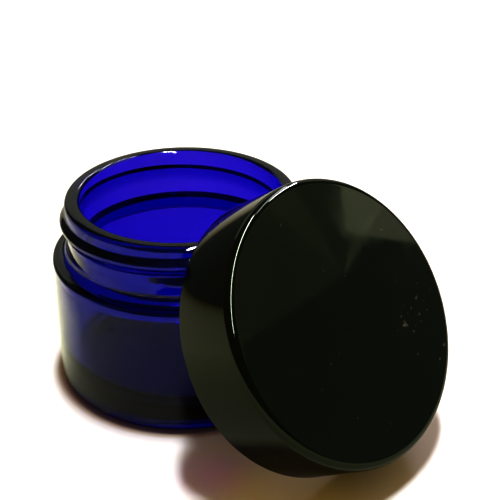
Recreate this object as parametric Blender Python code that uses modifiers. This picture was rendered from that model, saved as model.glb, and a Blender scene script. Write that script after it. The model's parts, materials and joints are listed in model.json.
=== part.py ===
"""Small glass screw-neck paint jar with its black cap taken off and leaned on the rim.

Metres, +Z up. The jar stands on z = 0 with its axis on the world Z axis. The cap leans
towards +X: its open side faces the jar, its lower edge stands on the table, and the top
of its skirt hangs over the jar's rim.
"""
import math

import bmesh
import bpy
import mathutils

MM = 0.001

# Jar: a straight-sided thick-walled glass jar with a wide screw neck
BODY_RADIUS = 28.5 * MM
JAR_HEIGHT = 43.0 * MM
SHOULDER_HEIGHT = 29.8 * MM
SHOULDER_ROUND = 0.85 * MM
NECK_RADIUS = 25.1 * MM
NECK_ROOT_ROUND = 2.5 * MM
BORE_RADIUS = 21.9 * MM
RIM_OUTER_ROUND = 1.2 * MM
RIM_INNER_ROUND = 0.9 * MM
BASE_ROUND = 3.0 * MM
BASE_THICKNESS = 3.8 * MM
CAVITY_RADIUS = 24.9 * MM
CAVITY_FLOOR_ROUND = 6.5 * MM
CAVITY_SHOULDER_HEIGHT = 27.1 * MM
CAVITY_SHOULDER_ROUND = 1.8 * MM
BORE_BOTTOM_HEIGHT = 28.9 * MM
BORE_BOTTOM_ROUND = 0.9 * MM

# Right-hand thread, the same pitch on the jar's neck and in the cap
THREAD_PITCH = 4.2 * MM
THREAD_SINK = 0.5 * MM
JAR_THREAD_HEIGHT = 1.2 * MM
JAR_THREAD_BELOW = 2.4 * MM
JAR_THREAD_ABOVE = 1.5 * MM
JAR_THREAD_START_HEIGHT = 34.9 * MM
JAR_THREAD_START_ANGLE = math.radians(296.0)
JAR_THREAD_TURNS = 1.4
CAP_THREAD_HEIGHT = 1.3 * MM
CAP_THREAD_BELOW = 1.0 * MM
CAP_THREAD_ABOVE = 1.0 * MM
CAP_THREAD_START_HEIGHT = 3.6 * MM
CAP_THREAD_START_ANGLE = 0.0
CAP_THREAD_TURNS = 1.25
THREAD_CREST = 0.25
THREAD_LEAD_TURNS = 0.06
THREAD_LEAD_SCALE = 0.3

# Cap: a plain moulded skirt with a flat top, and the foam liner inside it
CAP_RADIUS = 28.8 * MM
CAP_HEIGHT = 15.9 * MM
CAP_WALL = 1.6 * MM
CAP_TOP_THICKNESS = 1.9 * MM
CAP_TOP_ROUND = 1.7 * MM
CAP_EDGE_ROUND = 0.4 * MM
CAP_INSIDE_ROUND = 0.8 * MM
LINER_THICKNESS = 1.2 * MM
LINER_ROUND = 0.2 * MM
GAP = 0.3 * MM

# Where the cap leans: its axis rises from the table at this angle, in the XZ plane
CAP_AXIS_RISE = math.radians(34.5)
CAP_EDGE_CENTRE_X = 35.42 * MM
CAP_SIDE_OFFSET = -3.2 * MM

# Mesh fineness
TURN_STEPS = 64
ROUND_STEPS = 3
THREAD_STEPS_PER_TURN = 48
WELD = 0.01 * MM


def clear_scene():
    for item in list(bpy.data.objects):
        bpy.data.objects.remove(item, do_unlink=True)


def make_collection(name):
    group = bpy.data.collections.new(name)
    bpy.context.scene.collection.children.link(group)
    return group


def make_material(name, colour, roughness, transmission=0.0, ior=1.5):
    material = bpy.data.materials.new(name)
    material.use_nodes = True
    shader = material.node_tree.nodes["Principled BSDF"]
    shader.inputs["Base Color"].default_value = (*colour, 1.0)
    shader.inputs["Metallic"].default_value = 0.0
    shader.inputs["Roughness"].default_value = roughness
    shader.inputs["Transmission Weight"].default_value = transmission
    shader.inputs["IOR"].default_value = ior
    return material


def rounded(outline, steps=ROUND_STEPS):
    """Points of an outline of (radius, height, corner round), its corners turned into arcs."""
    points = [mathutils.Vector(outline[0][:2])]
    for before, corner, after in zip(outline, outline[1:], outline[2:]):
        centre = mathutils.Vector(corner[:2])
        if corner[2] == 0.0:
            points.append(centre)
            continue
        back = (mathutils.Vector(before[:2]) - centre).normalized()
        ahead = (mathutils.Vector(after[:2]) - centre).normalized()
        half = 0.5 * math.acos(max(-1.0, min(1.0, back.dot(ahead))))
        middle = centre + (back + ahead).normalized() * corner[2] / math.sin(half)
        start = centre + back * corner[2] / math.tan(half) - middle
        end = centre + ahead * corner[2] / math.tan(half) - middle
        sweep = start.angle_signed(end)
        for step in range(steps + 1):
            turn = mathutils.Matrix.Rotation(-sweep * step / steps, 2)
            points.append(middle + turn @ start)
    points.append(mathutils.Vector(outline[-1][:2]))
    return points


def turned(name, outline, group, material):
    """A solid of revolution about its own Z axis; the outline runs down its outer side."""
    points = rounded(outline)
    mesh = bpy.data.meshes.new(name)
    edges = [(i, i + 1) for i in range(len(points) - 1)]
    mesh.from_pydata([(p.x, 0.0, p.y) for p in points], edges, [])
    body = bpy.data.objects.new(name, mesh)
    group.objects.link(body)
    mesh.materials.append(material)
    screw = body.modifiers.new("turn", "SCREW")
    screw.axis = "Z"
    screw.steps = screw.render_steps = TURN_STEPS
    screw.use_merge_vertices = True
    screw.merge_threshold = WELD
    screw.use_smooth_shade = True
    screw.use_normal_calculate = False
    return body


def thread_section(name, height, below, above, outwards, group):
    """Closed outline of a thread's bead, from its sunk root line out to its narrow crest."""
    side = 1.0 if outwards else -1.0
    depth = THREAD_SINK + height
    corners = [(0.0, -below), (THREAD_SINK, -below), (depth, -THREAD_CREST * below)]
    corners += [(depth, THREAD_CREST * above), (THREAD_SINK, above), (0.0, above)]
    curve = bpy.data.curves.new(name, "CURVE")
    curve.dimensions = "2D"
    line = curve.splines.new("POLY")
    line.points.add(len(corners) - 1)
    for point, (out, along) in zip(line.points, corners):
        point.co = (side * out, along, 0.0, 1.0)
    line.use_cyclic_u = True
    section = bpy.data.objects.new(name, curve)
    group.objects.link(section)
    return section


def thread_bead(name, radius, section, start_height, start_angle, turns, group):
    """A helical bead about Z that rises as it turns anticlockwise, with tapered ends."""
    curve = bpy.data.curves.new(name, "CURVE")
    curve.dimensions = "3D"
    curve.twist_mode = "Z_UP"
    curve.bevel_mode = "OBJECT"
    curve.bevel_object = section
    curve.use_fill_caps = True
    line = curve.splines.new("POLY")
    count = round(turns * THREAD_STEPS_PER_TURN)
    line.points.add(count)
    for index, point in enumerate(line.points):
        turned_by = turns * index / count
        angle = start_angle + 2.0 * math.pi * turned_by
        lead = min(turned_by, turns - turned_by) / THREAD_LEAD_TURNS
        height = start_height + THREAD_PITCH * turned_by
        point.co = (radius * math.cos(angle), radius * math.sin(angle), height, 1.0)
        point.radius = THREAD_LEAD_SCALE + (1.0 - THREAD_LEAD_SCALE) * min(1.0, lead)
    path = bpy.data.objects.new(name + "_path", curve)
    group.objects.link(path)
    bpy.context.view_layer.update()
    solid = path.evaluated_get(bpy.context.evaluated_depsgraph_get())
    mesh = bpy.data.meshes.new_from_object(solid)
    close_mesh(mesh)
    bead = bpy.data.objects.new(name, mesh)
    group.objects.link(bead)
    return bead


def close_mesh(mesh):
    """Weld a swept tube's end caps to its sides, with every face looking outwards."""
    shape = bmesh.new()
    shape.from_mesh(mesh)
    bmesh.ops.remove_doubles(shape, verts=shape.verts, dist=WELD)
    bmesh.ops.recalc_face_normals(shape, faces=shape.faces)
    shape.to_mesh(mesh)
    shape.free()


def join_bead(body, bead):
    union = body.modifiers.new("thread", "BOOLEAN")
    union.operation = "UNION"
    union.solver = "EXACT"
    union.object = bead


def build_jar(parts, tools):
    glass = make_material("cobalt_glass", (0.015, 0.02, 0.5), 0.02, transmission=1.0, ior=1.52)
    outline = [
        (0.0, BASE_THICKNESS, 0.0),
        (CAVITY_RADIUS, BASE_THICKNESS, CAVITY_FLOOR_ROUND),
        (CAVITY_RADIUS, CAVITY_SHOULDER_HEIGHT, CAVITY_SHOULDER_ROUND),
        (BORE_RADIUS, BORE_BOTTOM_HEIGHT, BORE_BOTTOM_ROUND),
        (BORE_RADIUS, JAR_HEIGHT, RIM_INNER_ROUND),
        (NECK_RADIUS, JAR_HEIGHT, RIM_OUTER_ROUND),
        (NECK_RADIUS, SHOULDER_HEIGHT, NECK_ROOT_ROUND),
        (BODY_RADIUS, SHOULDER_HEIGHT, SHOULDER_ROUND),
        (BODY_RADIUS, 0.0, BASE_ROUND),
        (0.0, 0.0, 0.0),
    ]
    jar = turned("jar_body", outline, parts, glass)
    section = thread_section(
        "jar_thread_section",
        JAR_THREAD_HEIGHT,
        JAR_THREAD_BELOW,
        JAR_THREAD_ABOVE,
        True,
        tools,
    )
    bead = thread_bead(
        "jar_thread",
        NECK_RADIUS - THREAD_SINK,
        section,
        JAR_THREAD_START_HEIGHT,
        JAR_THREAD_START_ANGLE,
        JAR_THREAD_TURNS,
        tools,
    )
    join_bead(jar, bead)


def cap_frame(group):
    """Empty at the centre of the cap's open edge; its Z axis is the cap's axis, towards the top."""
    axis = bpy.data.objects.new("cap_axis", None)
    group.objects.link(axis)
    axis.location = (CAP_EDGE_CENTRE_X, CAP_SIDE_OFFSET, CAP_RADIUS * math.cos(CAP_AXIS_RISE))
    axis.rotation_euler = (0.0, 0.5 * math.pi - CAP_AXIS_RISE, 0.0)
    return axis


def build_cap(parts, tools, axis):
    plastic = make_material("black_cap", (0.006, 0.006, 0.005), 0.06)
    inside = CAP_RADIUS - CAP_WALL
    outline = [
        (0.0, CAP_HEIGHT, 0.0),
        (CAP_RADIUS, CAP_HEIGHT, CAP_TOP_ROUND),
        (CAP_RADIUS, 0.0, CAP_EDGE_ROUND),
        (inside, 0.0, CAP_EDGE_ROUND),
        (inside, CAP_HEIGHT - CAP_TOP_THICKNESS, CAP_INSIDE_ROUND),
        (0.0, CAP_HEIGHT - CAP_TOP_THICKNESS, 0.0),
    ]
    cap = turned("screw_cap", outline, parts, plastic)
    section = thread_section(
        "cap_thread_section",
        CAP_THREAD_HEIGHT,
        CAP_THREAD_BELOW,
        CAP_THREAD_ABOVE,
        False,
        tools,
    )
    bead = thread_bead(
        "cap_thread",
        inside + THREAD_SINK,
        section,
        CAP_THREAD_START_HEIGHT,
        CAP_THREAD_START_ANGLE,
        CAP_THREAD_TURNS,
        tools,
    )
    join_bead(cap, bead)
    cap.parent = axis
    bead.parent = axis


def build_liner(parts, axis):
    foam = make_material("liner_foam", (0.82, 0.82, 0.8), 0.75)
    radius = CAP_RADIUS - CAP_WALL - CAP_INSIDE_ROUND
    outline = [
        (0.0, LINER_THICKNESS, 0.0),
        (radius, LINER_THICKNESS, LINER_ROUND),
        (radius, 0.0, LINER_ROUND),
        (0.0, 0.0, 0.0),
    ]
    liner = turned("cap_liner", outline, parts, foam)
    liner.parent = axis
    liner.location.z = CAP_HEIGHT - CAP_TOP_THICKNESS - GAP - LINER_THICKNESS


def hide_tools(tools):
    for item in tools.objects:
        item.hide_render = True
        item.display_type = "WIRE"


def main():
    clear_scene()
    parts = make_collection("paint_jar")
    tools = make_collection("shaping_tools")
    build_jar(parts, tools)
    axis = cap_frame(parts)
    build_cap(parts, tools, axis)
    build_liner(parts, axis)
    hide_tools(tools)
    bpy.context.view_layer.update()


main()
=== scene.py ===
import json
import math

import bpy
from mathutils import Matrix, Vector


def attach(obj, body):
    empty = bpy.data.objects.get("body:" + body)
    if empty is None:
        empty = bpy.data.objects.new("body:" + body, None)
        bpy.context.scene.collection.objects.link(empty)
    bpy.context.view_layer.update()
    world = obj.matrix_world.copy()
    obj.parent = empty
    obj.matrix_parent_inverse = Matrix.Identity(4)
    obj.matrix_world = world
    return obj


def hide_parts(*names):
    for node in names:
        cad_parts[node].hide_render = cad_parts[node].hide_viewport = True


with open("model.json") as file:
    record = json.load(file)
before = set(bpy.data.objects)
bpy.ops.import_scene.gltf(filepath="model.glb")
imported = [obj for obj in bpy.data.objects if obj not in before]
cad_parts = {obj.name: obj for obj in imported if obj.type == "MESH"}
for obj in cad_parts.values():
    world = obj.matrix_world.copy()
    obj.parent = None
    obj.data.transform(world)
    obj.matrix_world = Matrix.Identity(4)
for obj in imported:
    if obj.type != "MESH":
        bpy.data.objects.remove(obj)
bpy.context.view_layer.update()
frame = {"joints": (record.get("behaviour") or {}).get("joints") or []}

MM = 0.001

# The jar's turned outline, its thread and the cap repeat the CAD's driving dimensions
BODY_RADIUS = 28.5 * MM
JAR_HEIGHT = 43.0 * MM
SHOULDER_HEIGHT = 29.8 * MM
NECK_RADIUS = 25.1 * MM
BORE_RADIUS = 21.9 * MM
CAVITY_RADIUS = 24.9 * MM
BASE_THICKNESS = 3.8 * MM
CAVITY_SHOULDER_HEIGHT = 27.1 * MM
BORE_BOTTOM_HEIGHT = 28.9 * MM

CAVITY_FLOOR_ROUND = 6.5 * MM
CAVITY_SHOULDER_ROUND = 1.8 * MM
BORE_BOTTOM_ROUND = 0.9 * MM
RIM_INNER_ROUND = 0.9 * MM
RIM_OUTER_ROUND = 1.2 * MM
NECK_ROOT_ROUND = 2.5 * MM
SHOULDER_ROUND = 0.85 * MM
BASE_ROUND = 3.0 * MM

# Finer shapes of the base: a low dome inside it and a shallow push-up under it
FLOOR_DOME = 0.6 * MM
FLOOR_DOME_RADIUS = 16.0 * MM
PUSH_UP_RADIUS = 23.4 * MM
PUSH_UP_HEIGHT = 0.9 * MM

THREAD_PITCH = 4.2 * MM
JAR_THREAD = {
    "start": 34.9 * MM,
    "angle": math.radians(296.0),
    "turns": 1.4,
    "depth": 1.2 * MM,
    "above": 1.5 * MM,
    "below": 2.7 * MM,
}
CAP_THREAD = {
    "start": 3.6 * MM,
    "angle": 0.0,
    "turns": 1.25,
    "depth": 1.3 * MM,
    "above": 1.1 * MM,
    "below": 1.1 * MM,
}
THREAD_CREST = 0.12
THREAD_LEAD = 0.06
THREAD_FLANK_CURVE = 0.3

CAP_RADIUS = 28.8 * MM
CAP_HEIGHT = 15.9 * MM
CAP_WALL = 1.6 * MM
CAP_TOP_THICKNESS = 1.9 * MM
CAP_TOP_ROUND = 1.7 * MM
CAP_EDGE_ROUND = 0.4 * MM
CAP_INSIDE_ROUND = 0.8 * MM
LINER_THICKNESS = 1.2 * MM
LINER_GAP = 0.3 * MM

TURN_STEPS = 256
LINER_TURN_STEPS = 128
ARC_STEP = math.radians(9.0)
NECK_RING_STEP = 0.15 * MM

CAP_TURN = next(joint for joint in frame["joints"] if joint["name"] == "cap_turn")
CAP_AXIS = Vector(CAP_TURN["axis"]).normalized()
CAP_EDGE_CENTRE = Vector(CAP_TURN["pos_m"])


def rounded(outline):
    """Points of an outline of (radius, height, corner round), its corners turned into arcs."""
    points = [Vector(outline[0][:2])]
    for before, corner, after in zip(outline, outline[1:], outline[2:]):
        tip = Vector(corner[:2])
        if corner[2] == 0.0:
            points.append(tip)
            continue
        back = (Vector(before[:2]) - tip).normalized()
        ahead = (Vector(after[:2]) - tip).normalized()
        half = 0.5 * back.angle(ahead)
        middle = tip + (back + ahead).normalized() * corner[2] / math.sin(half)
        start = tip + back * corner[2] / math.tan(half) - middle
        sweep = start.angle_signed(tip + ahead * corner[2] / math.tan(half) - middle)
        steps = max(2, math.ceil(abs(sweep) / ARC_STEP))
        for step in range(steps + 1):
            points.append(middle + Matrix.Rotation(-sweep * step / steps, 2) @ start)
    points.append(Vector(outline[-1][:2]))
    return points


def subdivided(points, radius, low, high, step):
    """The same outline with its straight run at one radius, between two heights, cut into short steps."""
    result = [points[0]]
    for a, b in zip(points, points[1:]):
        on_wall = abs(a.x - radius) < 1e-6 and abs(b.x - radius) < 1e-6
        if on_wall and max(a.y, b.y) > low and min(a.y, b.y) < high:
            count = math.ceil(abs(b.y - a.y) / step)
            result += [a.lerp(b, i / count) for i in range(1, count)]
        result.append(b)
    return result


def turned(name, points, steps=TURN_STEPS):
    """A closed solid of revolution about Z as a plain mesh; the outline runs down its outer side."""
    mesh = bpy.data.meshes.new(name)
    mesh.from_pydata([(p.x, 0.0, p.y) for p in points], [(i, i + 1) for i in range(len(points) - 1)], [])
    piece = bpy.data.objects.new(name, mesh)
    bpy.context.scene.collection.objects.link(piece)
    screw = piece.modifiers.new("turn", "SCREW")
    screw.steps = screw.render_steps = steps
    screw.use_merge_vertices = True
    screw.merge_threshold = 0.002 * MM
    bpy.context.view_layer.update()
    solid = bpy.data.meshes.new_from_object(piece.evaluated_get(bpy.context.evaluated_depsgraph_get()))
    solid.name = name
    piece.modifiers.clear()
    piece.data = solid
    bpy.data.meshes.remove(mesh)
    for face in solid.polygons:
        face.use_smooth = True
    return piece


def smooth_step(value):
    value = max(0.0, min(1.0, value))
    return value * value * (3.0 - 2.0 * value)


def bead_height(angle, height, thread):
    """How far the helical bead stands out of a wall at this angle and height."""
    rise = 0.0
    turn = ((angle - thread["angle"]) / (2.0 * math.pi)) % 1.0
    while turn <= thread["turns"]:
        lead = smooth_step(min(turn, thread["turns"] - turn) / THREAD_LEAD)
        offset = height - thread["start"] - THREAD_PITCH * turn
        offset /= thread["above"] if offset > 0.0 else -thread["below"]
        slope = min(1.0, max(0.0, (1.0 - offset) / (1.0 - THREAD_CREST)))
        flank = slope + THREAD_FLANK_CURVE * (smooth_step(slope) - slope)
        rise = max(rise, lead * thread["depth"] * flank)
        turn += 1.0
    return rise


def cut_thread(piece, wall_radius, thread, side):
    """Raises a thread on the wall at this radius: outwards on side 1, inwards on side -1."""
    for vertex in piece.data.vertices:
        radius = math.hypot(vertex.co.x, vertex.co.y)
        if abs(radius - wall_radius) > 0.01 * MM:
            continue
        rise = bead_height(math.atan2(vertex.co.y, vertex.co.x), vertex.co.z, thread)
        scale = (radius + side * rise) / radius
        vertex.co.x *= scale
        vertex.co.y *= scale


def place_on_cap(piece, height=0.0):
    """Puts a piece made about Z onto the cap's axis, this far above the cap's open edge."""
    turn = Vector((0.0, 0.0, 1.0)).rotation_difference(CAP_AXIS).to_matrix().to_4x4()
    piece.matrix_world = Matrix.Translation(CAP_EDGE_CENTRE) @ turn @ Matrix.Translation((0.0, 0.0, height))


# ---------------------------------------------------------------- materials

# The colour sockets of a mix node, which share their names with its other sockets
MIX_FACTOR = 0
MIX_FIRST = 6
MIX_SECOND = 7
MIX_RESULT = 2

DUST_MIDDLE = (5.5 * MM, 16.5 * MM, CAP_HEIGHT)
GLASS_COLOUR = (0.36, 0.18, 0.885, 1.0)
GLASS_DENSITY = 1600.0


def new_material(name):
    material = bpy.data.materials.new(name)
    material.use_nodes = True
    nodes = material.node_tree.nodes
    return material, nodes, material.node_tree.links, nodes["Principled BSDF"]


def object_coordinates(nodes):
    return nodes.new("ShaderNodeTexCoord").outputs["Object"]


def noise(nodes, links, coordinates, scale, detail=2.0, roughness=0.5):
    texture = nodes.new("ShaderNodeTexNoise")
    texture.inputs["Scale"].default_value = scale
    texture.inputs["Detail"].default_value = detail
    texture.inputs["Roughness"].default_value = roughness
    links.new(coordinates, texture.inputs["Vector"])
    return texture.outputs["Fac"]


def ramp(nodes, links, factor, stops):
    """A colour ramp whose stops are (position, grey or colour)."""
    node = nodes.new("ShaderNodeValToRGB")
    while len(node.color_ramp.elements) < len(stops):
        node.color_ramp.elements.new(0.5)
    for element, (position, colour) in zip(node.color_ramp.elements, stops):
        element.position = position
        element.color = (colour, colour, colour, 1.0) if isinstance(colour, float) else (*colour, 1.0)
    links.new(factor, node.inputs["Fac"])
    return node.outputs["Color"]


def graded(nodes, links, value, low, high, stops):
    """A colour ramp over a value's place between two limits."""
    node = nodes.new("ShaderNodeMapRange")
    node.inputs["From Min"].default_value = low
    node.inputs["From Max"].default_value = high
    links.new(value, node.inputs["Value"])
    return ramp(nodes, links, node.outputs["Result"], stops)


def distance_to(nodes, links, coordinates, point):
    node = nodes.new("ShaderNodeVectorMath")
    node.operation = "DISTANCE"
    node.inputs[1].default_value = point
    links.new(coordinates, node.inputs[0])
    return node.outputs["Value"]


def product(nodes, links, first, second):
    node = nodes.new("ShaderNodeVectorMath")
    node.operation = "MULTIPLY"
    links.new(first, node.inputs[0])
    links.new(second, node.inputs[1])
    return node.outputs["Vector"]


def total(nodes, links, first, second):
    node = nodes.new("ShaderNodeMath")
    links.new(first, node.inputs[0])
    links.new(second, node.inputs[1])
    return node.outputs["Value"]


def colour_mix(nodes, links, factor):
    """An empty mix of two colours by a factor; the caller fills in both colours."""
    node = nodes.new("ShaderNodeMix")
    node.data_type = "RGBA"
    links.new(factor, node.inputs[MIX_FACTOR])
    return node


def bump(nodes, links, height, strength, distance):
    node = nodes.new("ShaderNodeBump")
    node.inputs["Strength"].default_value = strength
    node.inputs["Distance"].default_value = distance
    links.new(height, node.inputs["Height"])
    return node.outputs["Normal"]


def cobalt_glass():
    """Clear blue glass: smooth at the neck and base, faintly hazy on the moulded sides."""
    material, nodes, links, shader = new_material("cobalt_glass")
    where = object_coordinates(nodes)
    shader.inputs["Base Color"].default_value = (1.0, 1.0, 1.0, 1.0)
    shader.inputs["Transmission Weight"].default_value = 1.0
    shader.inputs["IOR"].default_value = 1.52
    parts = nodes.new("ShaderNodeSeparateXYZ")
    links.new(where, parts.inputs["Vector"])
    sides = [(0.10, 0.03), (0.20, 0.13), (0.50, 0.13), (0.62, 0.01)]
    neck = [(0.74, 0.05), (0.93, 0.05), (0.97, 0.0)]
    moulded = graded(nodes, links, parts.outputs["Z"], 0.0, JAR_HEIGHT, sides + neck)
    smears = ramp(nodes, links, noise(nodes, links, where, 160.0, 3.0), [(0.35, 0.0), (0.75, 0.035)])
    links.new(total(nodes, links, smears, moulded), shader.inputs["Roughness"])
    waves = noise(nodes, links, where, 70.0, 1.0)
    links.new(bump(nodes, links, waves, 0.25, 0.12 * MM), shader.inputs["Normal"])
    absorption = nodes.new("ShaderNodeVolumeAbsorption")
    absorption.inputs["Color"].default_value = GLASS_COLOUR
    absorption.inputs["Density"].default_value = GLASS_DENSITY
    links.new(absorption.outputs["Volume"], nodes["Material Output"].inputs["Volume"])
    return material


def black_plastic():
    """Glossy black with wiped patches, and dust gathered on one side of the top."""
    material, nodes, links, shader = new_material("black_plastic")
    where = object_coordinates(nodes)
    blacks = [(0.3, (0.0015, 0.0018, 0.001)), (0.8, (0.004, 0.0045, 0.0025))]
    tint = ramp(nodes, links, noise(nodes, links, where, 45.0, 3.0), blacks)
    from_dust = distance_to(nodes, links, where, DUST_MIDDLE)
    near = graded(nodes, links, from_dust, 2.0 * MM, 9.0 * MM, [(0.0, 0.13), (1.0, 0.0)])
    grain = total(nodes, links, noise(nodes, links, where, 620.0, 3.0), near)
    dust = colour_mix(nodes, links, ramp(nodes, links, grain, [(0.72, 0.0), (0.80, 0.8)]))
    links.new(tint, dust.inputs[MIX_FIRST])
    dust.inputs[MIX_SECOND].default_value = (0.10, 0.088, 0.07, 1.0)
    links.new(dust.outputs[MIX_RESULT], shader.inputs["Base Color"])
    wipe = ramp(nodes, links, noise(nodes, links, where, 90.0, 5.0, 0.6), [(0.45, 0.04), (0.72, 0.12)])
    links.new(wipe, shader.inputs["Roughness"])
    shader.inputs["IOR"].default_value = 1.5
    shader.inputs["Specular Tint"].default_value = (0.80, 1.0, 0.60, 1.0)
    peel = noise(nodes, links, where, 260.0, 1.0)
    links.new(bump(nodes, links, peel, 0.12, 0.02 * MM), shader.inputs["Normal"])
    return material


def liner_foam():
    material, nodes, links, shader = new_material("liner_foam")
    where = object_coordinates(nodes)
    cells = nodes.new("ShaderNodeTexVoronoi")
    cells.inputs["Scale"].default_value = 2600.0
    links.new(where, cells.inputs["Vector"])
    whites = [(0.3, (0.70, 0.70, 0.67)), (0.8, (0.86, 0.86, 0.83))]
    tone = ramp(nodes, links, noise(nodes, links, where, 400.0, 4.0), whites)
    links.new(tone, shader.inputs["Base Color"])
    shader.inputs["Roughness"].default_value = 0.8
    links.new(bump(nodes, links, cells.outputs["Distance"], 0.6, 0.08 * MM), shader.inputs["Normal"])
    return material


# ---------------------------------------------------------------- pieces

def build_jar():
    outline = [
        (0.0, BASE_THICKNESS + FLOOR_DOME, 0.0),
        (0.75 * FLOOR_DOME_RADIUS, BASE_THICKNESS + 0.2 * FLOOR_DOME, 60.0 * MM),
        (FLOOR_DOME_RADIUS, BASE_THICKNESS, 0.0),
        (CAVITY_RADIUS, BASE_THICKNESS, CAVITY_FLOOR_ROUND),
        (CAVITY_RADIUS, CAVITY_SHOULDER_HEIGHT, CAVITY_SHOULDER_ROUND),
        (BORE_RADIUS, BORE_BOTTOM_HEIGHT, BORE_BOTTOM_ROUND),
        (BORE_RADIUS, JAR_HEIGHT, RIM_INNER_ROUND),
        (NECK_RADIUS, JAR_HEIGHT, RIM_OUTER_ROUND),
        (NECK_RADIUS, SHOULDER_HEIGHT, NECK_ROOT_ROUND),
        (BODY_RADIUS, SHOULDER_HEIGHT, SHOULDER_ROUND),
        (BODY_RADIUS, 0.0, BASE_ROUND),
        (PUSH_UP_RADIUS, 0.0, 1.0 * MM),
        (PUSH_UP_RADIUS - 1.5 * MM, PUSH_UP_HEIGHT, 1.2 * MM),
        (0.0, PUSH_UP_HEIGHT + 0.3 * MM, 0.0),
    ]
    points = rounded(outline)
    points = subdivided(points, NECK_RADIUS, SHOULDER_HEIGHT, JAR_HEIGHT, NECK_RING_STEP)
    jar = turned("glass_jar", points)
    cut_thread(jar, NECK_RADIUS, JAR_THREAD, 1)
    jar.data.materials.append(cobalt_glass())
    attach(jar, "jar")
    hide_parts("jar_body")


def build_cap():
    inside = CAP_RADIUS - CAP_WALL
    top_inside = CAP_HEIGHT - CAP_TOP_THICKNESS
    outline = [
        (0.0, CAP_HEIGHT, 0.0),
        (CAP_RADIUS, CAP_HEIGHT, CAP_TOP_ROUND),
        (CAP_RADIUS, 0.0, CAP_EDGE_ROUND),
        (inside, 0.0, CAP_EDGE_ROUND),
        (inside, top_inside, CAP_INSIDE_ROUND),
        (0.0, top_inside, 0.0),
    ]
    points = subdivided(rounded(outline), inside, 0.0, top_inside, NECK_RING_STEP)
    cap = turned("cap_shell", points)
    cut_thread(cap, inside, CAP_THREAD, -1)
    place_on_cap(cap)
    cap.data.materials.append(black_plastic())
    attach(cap, "cap")
    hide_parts("screw_cap")


def build_liner():
    radius = CAP_RADIUS - CAP_WALL - CAP_INSIDE_ROUND
    outline = [
        (0.0, LINER_THICKNESS, 0.0),
        (radius, LINER_THICKNESS, 0.2 * MM),
        (radius, 0.0, 0.25 * MM),
        (NECK_RADIUS, 0.0, 0.5 * MM),
        (NECK_RADIUS - 0.4 * MM, 0.15 * MM, 0.3 * MM),
        (BORE_RADIUS + 0.4 * MM, 0.15 * MM, 0.3 * MM),
        (BORE_RADIUS, 0.0, 0.5 * MM),
        (0.0, 0.0, 0.0),
    ]
    liner = turned("foam_liner", rounded(outline), LINER_TURN_STEPS)
    place_on_cap(liner, CAP_HEIGHT - CAP_TOP_THICKNESS - LINER_GAP - LINER_THICKNESS)
    liner.data.materials.append(liner_foam())
    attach(liner, "liner")
    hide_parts("cap_liner")


# ---------------------------------------------------------------- studio

CAMERA_DISTANCE = 226.96 * MM
CAMERA_HEIGHT = 153.85 * MM
CAMERA_AZIMUTH = math.radians(46.0)
CAMERA_PITCH = math.radians(28.886)
CAMERA_YAW = math.radians(3.736)
CAMERA_ROLL = math.radians(-0.137)
CAMERA_LENS = 84.3


def add_camera():
    data = bpy.data.cameras.new("camera")
    data.lens = CAMERA_LENS
    data.clip_start = 0.01
    camera = bpy.data.objects.new("camera", data)
    bpy.context.scene.collection.objects.link(camera)
    spin = Matrix.Rotation(CAMERA_AZIMUTH, 4, "Z")
    place = Matrix.Translation((0.0, -CAMERA_DISTANCE, CAMERA_HEIGHT))
    aim = Matrix.Rotation(-CAMERA_YAW, 4, "Z") @ Matrix.Rotation(0.5 * math.pi - CAMERA_PITCH, 4, "X")
    camera.matrix_world = spin @ place @ aim @ Matrix.Rotation(CAMERA_ROLL, 4, "Z")
    bpy.context.scene.camera = camera


FLOOR_HALF_SIZE = 3.0
FLOOR_COLOUR = (0.86, 0.86, 0.86, 1.0)
# Centres of painted marks on the floor: SHADE_MIDDLE of the painted glow and of the painted reflection
# shade, SHADE_END of the painted shade tint, OPEN_SIDE of the painted reflection light.
SHADE_MIDDLE = (33.5 * MM, -25.5 * MM, 0.0)
SHADE_END = (50.0 * MM, -21.0 * MM, 0.0)
OPEN_SIDE = (-52.0 * MM, -8.0 * MM, 0.0)


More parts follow.
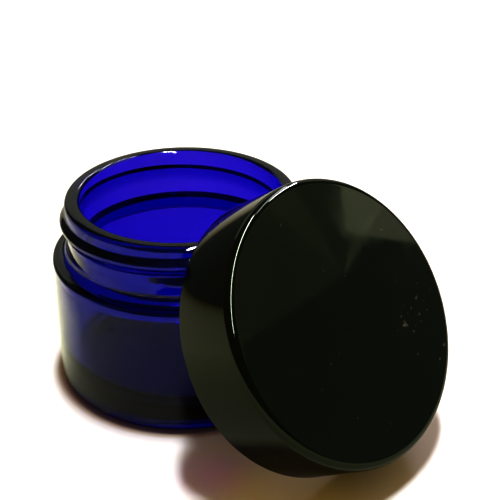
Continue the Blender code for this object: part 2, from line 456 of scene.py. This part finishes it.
def pale_floor():
    """Plain white, with painted shade: darker beneath the jar and a brown painted shadow at its foot,
    and in the cap's shade a purple painted glow of light through the glass and a yellow-brown painted shade.

    Reflections see it with painted reflection shade, darkest in front of the jar, and with painted
    reflection light at the jar's open side.
    """
    material, nodes, links, shader = new_material("pale_floor")
    where = object_coordinates(nodes)
    path = nodes.new("ShaderNodeLightPath")
    from_jar = distance_to(nodes, links, where, (0.0, 0.0, 0.0))
    from_shade = distance_to(nodes, links, where, SHADE_MIDDLE)
    from_shade_end = distance_to(nodes, links, where, SHADE_END)
    from_open_side = distance_to(nodes, links, where, OPEN_SIDE)

    # Reflection rays see painted reflection shade, darkest near SHADE_MIDDLE in front of the jar, and
    # painted reflection light, up to 2.6 times brighter, around OPEN_SIDE.
    greys = [(0.0, (0.25, 0.26, 0.20)), (0.55, (0.41, 0.44, 0.34)), (1.0, (0.56, 0.58, 0.48))]
    painted_reflection_shade = graded(nodes, links, from_shade, 15.0 * MM, 110.0 * MM, greys)
    painted_reflection_light = graded(nodes, links, from_open_side, 22.0 * MM, 45.0 * MM, [(0.0, 2.6), (1.0, 1.0)])
    seen = colour_mix(nodes, links, path.outputs["Is Reflection Ray"])
    seen.inputs[MIX_FIRST].default_value = FLOOR_COLOUR
    links.new(product(nodes, links, painted_reflection_shade, painted_reflection_light), seen.inputs[MIX_SECOND])

    # Painted shade on the floor for all rays: darker beneath the jar with a brown painted shadow ring at its
    # foot, a purple painted glow of light through the glass at SHADE_MIDDLE, and a yellow-brown painted
    # shade tint at SHADE_END.
    painted_foot_shade = [(0.0, (0.2, 0.12, 0.16)), (0.6, (0.3, 0.24, 0.14)), (0.8, (0.7, 0.6, 0.45)), (1.0, 1.0)]
    painted_glow_tint = [(0.0, (1.02, 0.80, 1.16)), (1.0, 1.0)]
    painted_shade_tint = [(0.0, (1.12, 1.05, 0.66)), (1.0, 1.0)]
    tone = seen.outputs[MIX_RESULT]
    for distance, inner, outer, stops in (
        (from_jar, 24.5 * MM, 30.0 * MM, painted_foot_shade),
        (from_shade, 2.0 * MM, 9.0 * MM, painted_glow_tint),
        (from_shade_end, 8.0 * MM, 17.0 * MM, painted_shade_tint),
    ):
        tone = product(nodes, links, tone, graded(nodes, links, distance, inner, outer, stops))
    links.new(tone, shader.inputs["Base Color"])

    far = graded(nodes, links, from_jar, 0.15, 0.6, [(0.0, 0.0), (1.0, 1.0)])
    glow = nodes.new("ShaderNodeMath")
    glow.operation = "MULTIPLY"
    links.new(far, glow.inputs[0])
    links.new(path.outputs["Is Camera Ray"], glow.inputs[1])
    shader.inputs["Emission Color"].default_value = (1.0, 1.0, 1.0, 1.0)
    links.new(glow.outputs["Value"], shader.inputs["Emission Strength"])
    shader.inputs["Roughness"].default_value = 0.6
    return material


def add_floor():
    mesh = bpy.data.meshes.new("floor")
    size = FLOOR_HALF_SIZE
    corners = [(-size, -size, 0.0), (size, -size, 0.0), (size, size, 0.0), (-size, size, 0.0)]
    mesh.from_pydata(corners, [], [(0, 1, 2, 3)])
    floor = bpy.data.objects.new("floor", mesh)
    bpy.context.scene.collection.objects.link(floor)
    mesh.materials.append(pale_floor())


LAMP_HEIGHT = 1.5
TUBE_LENGTH = 2.1
TUBE_WIDTH = 0.12
TUBE_COLOUR = (1.0, 0.92, 1.2)
OLIVE = (1.0, 0.95, 0.68)


def area_lamp(name, size, radiance, colour):
    """A rectangular lamp that the camera doesn't see; it shines along its own -Z."""
    data = bpy.data.lights.new(name, "AREA")
    data.shape = "RECTANGLE"
    data.size, data.size_y = size
    data.energy = radiance * math.pi * size[0] * size[1]
    data.color = colour
    lamp = bpy.data.objects.new(name, data)
    bpy.context.scene.collection.objects.link(lamp)
    lamp.visible_camera = False
    return lamp


def add_light(name, azimuth, elevation, distance, size, radiance, colour):
    """A soft rectangle that faces the jar; azimuth 0 is in front of it, at -Y."""
    light = area_lamp(name, size, radiance, colour)
    a, e = math.radians(azimuth), math.radians(elevation)
    back = Vector((math.sin(a) * math.cos(e), -math.cos(a) * math.cos(e), math.sin(e)))
    facing = back.to_track_quat("Z", "Y").to_matrix().to_4x4()
    light.matrix_world = Matrix.Translation(back * distance + Vector((0.0, 0.0, 0.5 * JAR_HEIGHT))) @ facing
    return light


def add_tube(name, offset, start, end, radiance, colour=(1.0, 1.0, 1.0)):
    """A long ceiling lamp, parallel to the line of sight."""
    tube = area_lamp(name, (TUBE_WIDTH, end - start), radiance, colour)
    place = Matrix.Translation((offset, 0.5 * (start + end), LAMP_HEIGHT))
    tube.matrix_world = Matrix.Rotation(CAMERA_AZIMUTH, 4, "Z") @ place
    tube.visible_transmission = False
    return tube


def add_panel(name, right, up, size, turn, radiance, colour):
    """A dim part of the room that the cap's face mirrors; placed in the mirror image, a metre away."""
    panel = area_lamp(name, size, radiance, colour)
    face = CAP_EDGE_CENTRE + CAP_AXIS * CAP_HEIGHT
    sight = (face - bpy.context.scene.camera.matrix_world.translation).normalized()
    mirrored = sight.reflect(CAP_AXIS)
    facing = mirrored.to_track_quat("Z", "Y").to_matrix().to_4x4()
    place = Matrix.Translation((right, up, 0.0)) @ Matrix.Rotation(math.radians(turn), 4, "Z")
    panel.matrix_world = Matrix.Translation(face + mirrored) @ facing @ place
    panel.visible_diffuse = False
    panel.visible_transmission = False


def add_lights():
    tubes = (("tube_over", 0.14, -1.6, 60.0), ("tube_mid", 0.45, 0.35, 16.0), ("tube_side", 0.78, 0.5, 60.0))
    for name, offset, start, radiance in tubes:
        tube = add_tube(name, offset, start, start + TUBE_LENGTH, radiance, TUBE_COLOUR)
        tube.visible_diffuse = False
    add_tube("key", 0.07, -0.16, 0.18, 225.0).visible_glossy = False
    add_light("back_wall", 226.0, 26.0, 1.6, (2.4, 0.8), 0.52, (1.0, 1.02, 0.88))
    fill = add_light("through_glass", 226.0, 75.0, 1.5, (2.4, 2.4), 0.8, (1.0, 0.98, 0.93))
    fill.visible_glossy = False
    fill.visible_diffuse = False
    add_panel("pale_door", 0.235, 0.064, (0.2, 0.2), -52.0, 1.7, (1.0, 0.92, 0.80))
    add_panel("olive_wall", -0.129, 0.310, (0.5, 0.4), -17.6, 0.6, OLIVE)
    add_panel("olive_corner", 0.181, 0.256, (0.3, 0.4), 5.0, 0.6, OLIVE)
    add_panel("dark_wall", 0.0, 0.0, (0.9, 0.9), 0.0, 0.14, (0.8, 1.0, 0.9))


def add_world():
    """A dim room: plain white for the camera, and warm ambient light on the floor."""
    world = bpy.data.worlds.new("studio")
    bpy.context.scene.world = world
    world.use_nodes = True
    nodes, links = world.node_tree.nodes, world.node_tree.links
    path = nodes.new("ShaderNodeLightPath")
    shader = nodes["Background"]
    shader.inputs["Color"].default_value = (0.08, 0.09, 0.075, 1.0)
    output = shader.outputs["Background"]
    for ray, colour in (("Is Diffuse Ray", (0.48, 0.315, 0.12)), ("Is Camera Ray", (1.0, 1.0, 1.0))):
        lit = nodes.new("ShaderNodeBackground")
        lit.inputs["Color"].default_value = (*colour, 1.0)
        mix = nodes.new("ShaderNodeMixShader")
        links.new(path.outputs[ray], mix.inputs["Fac"])
        links.new(output, mix.inputs[1])
        links.new(lit.outputs["Background"], mix.inputs[2])
        output = mix.outputs["Shader"]
    links.new(output, nodes["World Output"].inputs["Surface"])


build_jar()
build_cap()
build_liner()
add_camera()
add_floor()
add_lights()
add_world()
bpy.context.scene.view_settings.view_transform = "Standard"
bpy.context.scene.view_settings.gamma = 0.7
